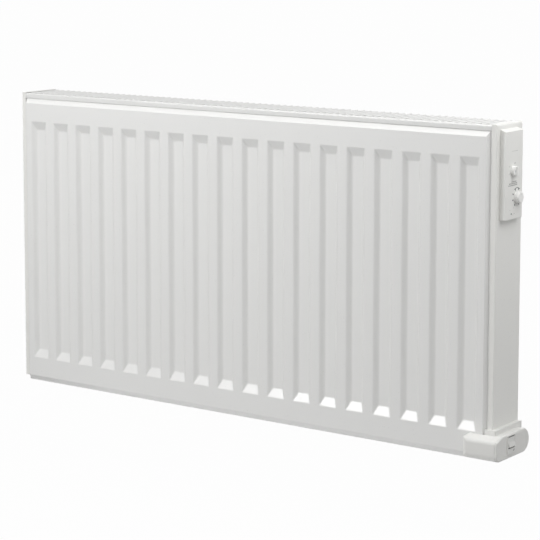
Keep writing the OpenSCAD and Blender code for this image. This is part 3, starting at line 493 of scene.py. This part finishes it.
class Marks:
    """Thin raised marks on a face that looks along +X. Places are given as (Y, Z)."""

    def __init__(self, name, x, height):
        self.name = name
        self.x = x
        self.height = height
        self.mesh = bmesh.new()

    def slab(self, outline):
        """A closed slab of the given outline, listed anticlockwise as seen from +X"""
        base = [self.mesh.verts.new((self.x, y, z)) for y, z in outline]
        top = [self.mesh.verts.new((self.x + self.height, y, z)) for y, z in outline]
        count = len(outline)
        self.mesh.faces.new(top)
        self.mesh.faces.new(list(reversed(base)))
        for i in range(count):
            j = (i + 1) % count
            self.mesh.faces.new((base[i], base[j], top[j], top[i]))

    def bar(self, y, z, length, width, turn=0.0):
        """A bar with rounded ends, turned anticlockwise from the Y axis as seen from +X"""
        c, s = math.cos(turn), math.sin(turn)
        half = max(0.0, (length - width) / 2)
        points = []
        for side in (1, -1):
            for k in range(CAP_STEPS + 1):
                a = -math.pi / 2 + math.pi * k / CAP_STEPS
                u = side * (half + width / 2 * math.cos(a))
                v = side * width / 2 * math.sin(a)
                points.append((y + u * c - v * s, z + u * s + v * c))
        self.slab(points)

    def arc(self, y, z, radius, width, start, end):
        """A curved band round (y, z)"""
        inner, outer = radius - width / 2, radius + width / 2
        for k in range(ARC_STEPS):
            a = start + (end - start) * k / ARC_STEPS
            b = start + (end - start) * (k + 1) / ARC_STEPS
            self.slab([(y + r * math.cos(t), z + r * math.sin(t))
                       for r, t in ((inner, a), (outer, a), (outer, b), (inner, b))])

    def place(self, body, material, slot):
        """Makes the marks one piece that rides on a body"""
        bmesh.ops.remove_doubles(self.mesh, verts=self.mesh.verts, dist=WELD_DISTANCE)
        bmesh.ops.recalc_face_normals(self.mesh, faces=self.mesh.faces)
        data = bpy.data.meshes.new(self.name)
        self.mesh.to_mesh(data)
        self.mesh.free()
        piece = bpy.data.objects.new(self.name, data)
        bpy.context.scene.collection.objects.link(piece)
        data.materials.append(material)
        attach(piece, body)


# ---- operators ----

class HEATER_OT_sheet_metal(bpy.types.Operator):
    """Powder coat on the panels, the casing, the pipes and the hanger lugs"""
    bl_idname = "heater.sheet_metal"
    bl_label = "Sheet Metal"

    def execute(self, context):
        finish = context.scene.heater_finish
        enamel, casing, bend = finish.enamel[:], finish.casing[:], finish.bend_radius
        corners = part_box("front_panel_face")
        coat(PRESSED_SHEETS,
             powder_coat("pressed_enamel", finish, enamel, finish.press_radius, corners))
        coat(BENT_SHEETS, powder_coat("casing_enamel", finish, casing, bend))
        # The grille gets the same enamel made darker: painted shade standing in for the shade in
        # its slots and under its bars, not a different coat.
        coat(("top_grille",), powder_coat("grille_enamel", finish, tint(enamel, 0.92), bend))
        return {"FINISHED"}


class HEATER_OT_housings(bpy.types.Operator):
    """White mouldings: control box, connection box, knobs and switch"""
    bl_idname = "heater.housings"
    bl_label = "Housings"

    def execute(self, context):
        finish = context.scene.heater_finish
        white, knob = finish.plastic[:], finish.knob[:]
        coat(HOUSINGS, moulded("white_moulding", white, 0.40, 0.00003))
        coat(("connection_box",), moulded("corner_moulding", white, 0.36, 0.00002, 0.0030))
        coat(KNOBS, moulded("knob_moulding", knob, 0.38, 0.00002))
        coat(SWITCH_PARTS,
             moulded("switch_moulding", tint(white, 0.97), 0.30, 0.00001, 0.0006))
        return {"FINISHED"}


class HEATER_OT_inner_metal(bpy.types.Operator):
    """Fins, brackets, clips, shafts, screws, brass plugs and the element"""
    bl_idname = "heater.inner_metal"
    bl_label = "Inner Metal"

    def execute(self, context):
        coat(PLATED_STEEL, plated_steel("zinc_plate", (0.60, 0.61, 0.62), 0.36))
        coat(("heating_element",), plated_steel("annealed_tube", (0.36, 0.33, 0.30), 0.42))
        coat(BRASS_PARTS, turned_brass())
        return {"FINISHED"}


class HEATER_OT_inner_electrics(bpy.types.Operator):
    """Board, relay, cables, terminal block, dark mouldings and the light guide"""
    bl_idname = "heater.inner_electrics"
    bl_label = "Inner Electrics"

    def execute(self, context):
        coat(DARK_MOULDINGS, moulded("dark_moulding", (0.035, 0.035, 0.037), 0.42, 0.00003))
        coat(("terminal_block",), moulded("natural_moulding", (0.74, 0.71, 0.60), 0.40, 0.00002))
        coat(("control_relay",), moulded("relay_case", (0.03, 0.11, 0.36), 0.34, 0.00001))
        coat(("control_board",), circuit_board())
        coat(("harness",), cable_sheath("grey_sheath", (0.52, 0.52, 0.51)))
        coat(("element_leads",), cable_sheath("red_sleeve", (0.42, 0.06, 0.04)))
        coat(("indicator_lens",), tinted_lens())
        return {"FINISHED"}


class HEATER_OT_printed_scales(bpy.types.Operator):
    """Printed marks round the knobs, beside the indicator and under the rocker"""
    bl_idname = "heater.printed_scales"
    bl_label = "Printed Scales"

    def execute(self, context):
        sizes = context.scene.heater_marks
        finish = context.scene.heater_finish
        pale = printed_ink("pale_print", finish.pale_ink[:])
        self.temperature_scale(sizes, printed_ink("dark_print", finish.print_ink[:]))
        self.mode_signs(sizes, pale)
        self.heat_sign(sizes, printed_ink("grey_print", tint(finish.pale_ink[:], 0.55)))
        self.face_signs(sizes, pale)
        self.knob_pointers(sizes, printed_ink("knob_print", tint(finish.knob[:], 0.62)))
        self.switch_mark(sizes, pale)
        return {"FINISHED"}

    def temperature_scale(self, sizes, ink):
        """Bars round the lower knob, with a curved line over it"""
        y, z = middle("temperature_knob", Y), middle("temperature_knob", Z)
        r = sizes.scale_radius
        scale = Marks("temperature_scale", high("control_cover", X), sizes.ink_height)
        for k in range(sizes.scale_steps):
            a = UPRIGHT + sizes.scale_sweep * (1 - 2 * k / (sizes.scale_steps - 1))
            scale.bar(y + r * math.cos(a), z + r * math.sin(a), *SCALE_BAR, a)
        scale.arc(y, z, r + SCALE_ARC_GAP, SCALE_ARC_WIDTH, *SCALE_ARC_ENDS)
        scale.place("heater", ink, "dark_plastic")

    def mode_signs(self, sizes, ink):
        """Signs of the three modes round the upper knob"""
        y, z = middle("mode_knob", Y), middle("mode_knob", Z)
        r = sizes.mode_radius
        signs = Marks("mode_signs", high("control_cover", X), sizes.ink_height)
        for bars, turn in MODE_SIGNS:
            a = math.radians(turn)
            for step in range(bars):
                beside = (step - (bars - 1) / 2) * MODE_BAR_PITCH
                signs.bar(y + r * math.cos(a) + beside, z + r * math.sin(a), *MODE_BAR, UPRIGHT)
        signs.place("heater", ink, "dark_plastic")

    def heat_sign(self, sizes, ink):
        """A low mound of short bars between the two knobs"""
        heat = Marks("heat_sign", high("control_cover", X), sizes.ink_height)
        y = middle("mode_knob", Y) + HEAT_START[0]
        z = (middle("mode_knob", Z) + middle("temperature_knob", Z)) / 2 + HEAT_START[1]
        for row, (first, last) in enumerate(HEAT_ROWS):
            for step in range(first, last):
                heat.bar(y + step * HEAT_PITCH[0], z + row * HEAT_PITCH[1], *HEAT_BAR, UPRIGHT)
        heat.place("heater", ink, "dark_plastic")

    def face_signs(self, sizes, ink):
        """Fine line over the knobs and small signs beside the indicator"""
        line = Marks("fine_line", high("control_cover", X), sizes.ink_height)
        dy, dz, length, width = FINE_LINE
        line.bar(middle("control_cover", Y) + dy, middle("mode_knob", Z) + dz, length, width)
        y, z = middle("indicator_lens", Y), middle("indicator_lens", Z)
        for dy, dz, length in SMALL_SIGNS:
            line.bar(y + dy, z + dz, length, SMALL_SIGN_WIDTH)
        line.place("heater", ink, "dark_plastic")

    def knob_pointers(self, sizes, ink):
        """Pointer lines on the two knobs"""
        for knob, body, reach in POINTERS:
            pointer = Marks(knob + "_pointer", high(knob, X), sizes.ink_height)
            pointer.bar(middle(knob, Y), middle(knob, Z) + reach, *POINTER_BAR, UPRIGHT)
            pointer.place(body, ink, "dark_plastic")

    def switch_mark(self, sizes, ink):
        """Small mark under the rocker"""
        mark = Marks("switch_mark", high("switch_body", X), sizes.ink_height)
        share, rise, length, width, turn = SWITCH_MARK
        front, back = low("switch_body", Y), high("switch_body", Y)
        mark.bar(front + share * (back - front), low("switch_body", Z) + rise, length, width, turn)
        mark.place("heater", ink, "dark_plastic")


class HEATER_OT_stage(bpy.types.Operator):
    """Pale floor, soft lamps, even sky and the camera"""
    bl_idname = "heater.stage"
    bl_label = "Stage"

    def execute(self, context):
        settings = context.scene.heater_stage
        self.camera(context, settings)
        self.floor(context, settings)
        self.lamps(context, settings)
        self.sky(context, settings)
        context.scene.view_settings.view_transform = "Standard"
        return {"FINISHED"}

    def camera(self, context, settings):
        """The camera at the photograph's place"""
        data = bpy.data.cameras.new("camera")
        data.lens = settings.lens
        data.sensor_width = 36.0
        data.shift_y = settings.camera_shift
        data.clip_end = 50.0
        camera = bpy.data.objects.new("camera", data)
        camera.location = settings.camera_place
        camera.rotation_euler = settings.camera_turn
        context.scene.collection.objects.link(camera)
        context.scene.camera = camera

    def floor(self, context, settings):
        """A wide floor that shows nearly white and keeps a faint shadow"""
        data = bpy.data.meshes.new("floor")
        z, reach = CAD_BOX[0][Z] - settings.floor_drop, FLOOR_REACH
        corners = [(-reach, -reach, z), (reach, -reach, z), (reach, reach, z), (-reach, reach, z)]
        data.from_pydata(corners, [], [(0, 1, 2, 3)])
        floor = bpy.data.objects.new("floor", data)
        context.scene.collection.objects.link(floor)
        s = Shader("pale_floor")
        s.colour(s.ramp(s.noise(1.5, 2.0), (0.38, 0.38, 0.38), (0.40, 0.40, 0.40)))
        s.set(Roughness=0.9)
        glow = s.add("ShaderNodeEmission")
        mix = s.add("ShaderNodeMixShader")
        ease = s.add("ShaderNodeMath", operation="MULTIPLY")
        ease.inputs[1].default_value = FLOOR_WHITE
        s.link(seen_directly(s.tree), ease.inputs[0])
        s.link(ease.outputs[0], mix.inputs[0])
        s.link(s.surface.outputs[0], mix.inputs[1])
        s.link(glow.outputs[0], mix.inputs[2])
        s.link(mix.outputs[0], s.tree.nodes["Material Output"].inputs["Surface"])
        data.materials.append(s.material)

    def lamps(self, context, settings):
        """Soft rectangular lamps that the camera doesn't see"""
        for name, power, place, aim, size in LAMPS:
            data = bpy.data.lights.new(name, "AREA")
            data.shape = "RECTANGLE"
            data.size, data.size_y = size
            data.energy = getattr(settings, power)
            lamp = bpy.data.objects.new(name, data)
            lamp.location = place
            lamp.rotation_euler = (Vector(aim) - Vector(place)).to_track_quat("-Z", "Y").to_euler()
            lamp.visible_camera = False
            context.scene.collection.objects.link(lamp)

    def sky(self, context, settings):
        """Even light from all sides, and plain white behind the heater"""
        world = bpy.data.worlds.new("even_sky")
        world.use_nodes = True
        tree = world.node_tree
        light = tree.nodes["Background"]
        light.inputs["Color"].default_value = (1.0, 1.0, 1.0, 1.0)
        light.inputs["Strength"].default_value = settings.sky
        white = tree.nodes.new("ShaderNodeBackground")
        white.inputs["Color"].default_value = (1.0, 1.0, 1.0, 1.0)
        mix = tree.nodes.new("ShaderNodeMixShader")
        tree.links.new(seen_directly(tree), mix.inputs[0])
        tree.links.new(light.outputs[0], mix.inputs[1])
        tree.links.new(white.outputs[0], mix.inputs[2])
        tree.links.new(mix.outputs[0], tree.nodes["World Output"].inputs["Surface"])
        context.scene.world = world


class HEATER_PT_sidebar(bpy.types.Panel):
    """Lists the heater's pieces and their settings"""
    bl_label = "Panel Heater"
    bl_idname = "HEATER_PT_sidebar"
    bl_space_type = "VIEW_3D"
    bl_region_type = "UI"
    bl_category = "Heater"

    def draw(self, context):
        layout = self.layout
        scene = context.scene
        for label, group in (("Finish", scene.heater_finish), ("Marks", scene.heater_marks),
                             ("Stage", scene.heater_stage)):
            box = layout.box()
            box.label(text=label)
            for key in group.__annotations__:
                box.prop(group, key)
        for operator in PIECES:
            layout.operator(operator.bl_idname)


PIECES = (
    HEATER_OT_stage, HEATER_OT_sheet_metal, HEATER_OT_housings, HEATER_OT_inner_metal,
    HEATER_OT_inner_electrics, HEATER_OT_printed_scales,
)
CLASSES = (HeaterFinish, HeaterMarks, HeaterStage) + PIECES + (HEATER_PT_sidebar,)


def register():
    for item in CLASSES:
        bpy.utils.register_class(item)
    bpy.types.Scene.heater_finish = PointerProperty(type=HeaterFinish)
    bpy.types.Scene.heater_marks = PointerProperty(type=HeaterMarks)
    bpy.types.Scene.heater_stage = PointerProperty(type=HeaterStage)


def unregister():
    del bpy.types.Scene.heater_stage
    del bpy.types.Scene.heater_marks
    del bpy.types.Scene.heater_finish
    for item in reversed(CLASSES):
        bpy.utils.unregister_class(item)


def main():
    """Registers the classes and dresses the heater"""
    register()
    bpy.ops.heater.stage()
    bpy.ops.heater.sheet_metal()
    bpy.ops.heater.housings()
    bpy.ops.heater.inner_metal()
    bpy.ops.heater.inner_electrics()
    bpy.ops.heater.printed_scales()


if __name__ == "__main__":
    main()
